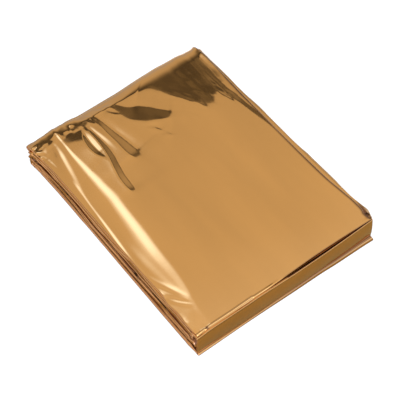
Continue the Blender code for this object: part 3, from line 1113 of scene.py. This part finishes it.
def paleFloor():
    # the camera sees a pale glowing sheet, and the film mirrors a darker one, painted shade, that turns paler
    # as painted light to the right of the film
    material = bpy.data.materials.new("paleFloor")
    material.use_nodes = True
    tree = material.node_tree
    nodes, links = tree.nodes, tree.links
    nodes.remove(nodes["Principled BSDF"])
    plain, dim = nodes.new("ShaderNodeBsdfDiffuse"), nodes.new("ShaderNodeBsdfDiffuse")
    glow, both, seen = [nodes.new("ShaderNode" + kind) for kind in ("Emission", "AddShader", "MixShader")]
    plain.inputs["Color"].default_value = ground["plain"]
    glow.inputs["Color"].default_value = ground["glow"]
    glow.inputs["Strength"].default_value = ground["glowStrength"]
    place = placeIn(tree)
    beside = mathNode(tree, "MULTIPLY", mapRange(tree, place["X"], ground["besideX"], (0.0, 1.0)),
                      mapRange(tree, place["Y"], ground["besideY"], (0.0, 1.0)))
    # painted shade and light in what the film mirrors: darker than the floor the camera sees, and paler to
    # the right of the film
    links.new(mixColour(tree, beside, ground["mirrored"], ground["mirroredBeside"]), dim.inputs["Color"])
    links.new(plain.outputs[0], both.inputs[0])
    links.new(glow.outputs[0], both.inputs[1])
    links.new(nodes.new("ShaderNodeLightPath").outputs["Is Camera Ray"], seen.inputs[0])
    links.new(dim.outputs[0], seen.inputs[1])
    links.new(both.outputs[0], seen.inputs[2])
    links.new(seen.outputs[0], nodes["Material Output"].inputs["Surface"])
    return material


reach = ground["reach"]
floorMesh = bpy.data.meshes.new("floor")
floorCorners = [(-reach, -reach, 0), (reach, -reach, 0), (reach, reach, 0), (-reach, reach, 0)]
floorMesh.from_pydata(floorCorners, [], [(0, 1, 2, 3)])
floorMesh.materials.append(paleFloor())
floor = bpy.data.objects.new("floor", floorMesh)
bpy.context.scene.collection.objects.link(floor)

camera = {
    "azimuth": -37.38,
    "elevation": 55.0,
    "distance": 0.6600,
    "target": (0.00112, -0.00105, 0),
    "lens": 126,
}
azimuth, elevation = math.radians(camera["azimuth"]), math.radians(camera["elevation"])
toEye = Vector((
    math.sin(azimuth) * math.cos(elevation), -math.cos(azimuth) * math.cos(elevation), math.sin(elevation)))
cameraData = bpy.data.cameras.new("camera")
cameraData.lens = camera["lens"]
cameraData.sensor_width = 36
eye = bpy.data.objects.new("camera", cameraData)
eye.location = Vector(camera["target"]) + toEye * camera["distance"]
eye.rotation_euler = (-toEye).to_track_quat("-Z", "Y").to_euler()
bpy.context.scene.collection.objects.link(eye)
bpy.context.scene.camera = eye
bpy.context.scene.view_settings.view_transform = "Standard"

# the studio: level of light by direction, in rows of (place, level). A direction leans to the right by its x
# over its z, and to the back by its y over its z
studio = {
    "backward": ((-3, 0.5), (-1.2, 0.7), (-0.3, 0.95), (0.1, 0.9), (0.35, 0.76), (0.45, 0.71), (0.58, 0.635),
        (0.7, 0.575), (0.7225, 0.57), (0.7275, 0.085), (0.84, 0.09), (0.9, 0.13), (0.96, 0.19), (1.03, 0.27),
        (1.1, 0.34), (1.22, 0.45), (1.45, 0.56), (1.9, 0.53), (2.6, 0.42), (5, 0.36)),
    "right": ((0.5, 0.64), (0.562, 0.6), (0.568, 0.12), (0.61, 0.13), (0.66, 0.34), (0.72, 0.55),
        (0.85, 0.72), (1.1, 0.82), (1.6, 0.86), (3, 0.86)),
    "tube": ((0.04, 0), (0.09, 0.3), (0.13, 0.75), (0.19, 0.85), (0.25, 0.7), (0.28, 0.3), (0.305, 0)),
    "tubeEnd": ((-1.5, 0), (0.44, 0), (0.475, 0.13), (0.5, 0.5), (0.53, 1), (0.67, 1), (0.7, 0)),
    "leastShift": 0.03,     # the gap at the back starts nearer by backShift less this
    "backShift": ((0, 0), (0.2, 0), (0.3, 0.03), (0.35, 0.0575), (0.4, 0.0575), (0.47, 0.03), (0.6, 0.03)),
    "tubeTint": (1, 1.8, 4.2),
    "front": ((-1.5, 0), (-1.1, 0.12), (-0.9, 0.5), (-0.45, 0.5), (-0.2, 0), (0.36, 0), (0.4, 0.06),
        (0.44, 0.06), (0.46, 0.02), (0.49, 0), (1.6, 0), (2.3, 0.06), (5, 0.12)),
    "left": ((-1, 0.6), (-0.9, 0.8), (-0.7, 0.75), (-0.62, 0.2), (-0.42, 0.15), (-0.33, 0.6)),
    "patchRight": ((0.5, 0), (0.515, 0), (0.53, 0.08), (0.7, 0.08)),    # a faint light in the back's gap
    "patchBack": ((0.7, 0), (0.74, 0), (0.76, 1), (0.8, 1), (0.83, 0), (0.9, 0)),
    "rightShare": ((0.5, 0), (0.564, 0), (0.568, 1), (0.7, 1)),     # where the right wall shows
    "rightBack": ((0, 0), (0.3, 1), (0.775, 1), (0.8, 0)),
    "leftShare": ((-1, 1), (-0.36, 1), (-0.3, 0), (0, 0)),      # and the left one
    "leftBack": ((0.1, 0), (0.25, 1), (0.65, 1), (0.8, 0)),
    "leastUp": 0.001,
    "backdrop": (0.93, 0.93, 0.93, 1),      # what the camera sees
    "keySize": 1.2,
    "keyPower": 6,
    "keyPlace": (-0.6, -1.2, 1.8),
}


def dotWith(tree, direction, axis):
    node = tree.nodes.new("ShaderNodeVectorMath")
    node.operation = "DOT_PRODUCT"
    tree.links.new(direction, node.inputs[0])
    node.inputs[1].default_value = axis
    return node.outputs["Value"]


def levelBy(tree, value, rows):
    # a level read from (place, level) rows through a colour ramp
    first, last = rows[0][0], rows[-1][0]
    high = max(level for _, level in rows)
    node = tree.nodes.new("ShaderNodeValToRGB")
    tree.links.new(mapRange(tree, value, (first, last), (0.0, 1.0)), node.inputs["Fac"])
    stops = node.color_ramp.elements
    while len(stops) < len(rows):
        stops.new(1.0)
    for stop, (at, _) in zip(stops, rows):
        stop.position = (at - first) / (last - first)
    for stop, (_, level) in zip(stops, rows):
        grey = level / high
        stop.color = (grey, grey, grey, 1)
    return mathNode(tree, "MULTIPLY", node.outputs["Color"], high)


def levelInside(tree, one, oneRows, other, otherRows):
    # the product of two levels read from two values
    first, second = levelBy(tree, one, studio[oneRows]), levelBy(tree, other, studio[otherRows])
    return mathNode(tree, "MULTIPLY", first, second)


def blendLevels(tree, share, a, b):
    # a, and b to the extent of the share
    return mathNode(tree, "ADD", a, mathNode(tree, "MULTIPLY", share, mathNode(tree, "SUBTRACT", b, a)))


def studioLight(tree):
    # colour of the light from each direction: a pale room with a dark gap at its back, walls to the right and
    # the left, and a bright bluish tube in front
    direction = tree.nodes.new("ShaderNodeTexCoord").outputs["Generated"]
    toRight, toBack, upward = [dotWith(tree, direction, axis) for axis in ((1, 0, 0), (0, 1, 0), (0, 0, 1))]
    up = mathNode(tree, "MAXIMUM", upward, studio["leastUp"])
    leanRight = mathNode(tree, "DIVIDE", toRight, up)
    leanBack = mathNode(tree, "DIVIDE", toBack, up)
    shift = mathNode(tree, "SUBTRACT", levelBy(tree, leanRight, studio["backShift"]), studio["leastShift"])
    level = levelBy(tree, mathNode(tree, "ADD", leanBack, shift), studio["backward"])
    level = mathNode(tree, "ADD", level, levelInside(tree, leanRight, "patchRight", leanBack, "patchBack"))
    share = levelInside(tree, leanRight, "rightShare", leanBack, "rightBack")
    level = blendLevels(tree, share, level, levelBy(tree, leanRight, studio["right"]))
    share = levelInside(tree, toRight, "leftShare", toBack, "leftBack")
    level = blendLevels(tree, share, level, levelBy(tree, toRight, studio["left"]))
    tubeLevel = levelInside(tree, leanRight, "tube", leanBack, "tubeEnd")
    tubeLevel = mathNode(tree, "ADD", tubeLevel, levelBy(tree, leanBack, studio["front"]))
    colour = tree.nodes.new("ShaderNodeCombineXYZ")
    for socket, tint in zip(colour.inputs, studio["tubeTint"]):
        tree.links.new(mathNode(tree, "MULTIPLY_ADD", tubeLevel, tint, level), socket)
    return colour.outputs[0]


world = bpy.data.worlds.new("studio")
bpy.context.scene.world = world
world.use_nodes = True
tree = world.node_tree
toCamera = tree.nodes.new("ShaderNodeLightPath").outputs["Is Camera Ray"]
seenLight = mixColour(tree, toCamera, studioLight(tree), studio["backdrop"])
tree.links.new(seenLight, tree.nodes["Background"].inputs["Color"])

key = bpy.data.lights.new("key", "AREA")
key.shape = "DISK"
key.size = studio["keySize"]
key.energy = studio["keyPower"]
keyObj = bpy.data.objects.new("key", key)
keyObj.location = studio["keyPlace"]
keyObj.rotation_euler = (-Vector(studio["keyPlace"])).to_track_quat("-Z", "Y").to_euler()
bpy.context.scene.collection.objects.link(keyObj)
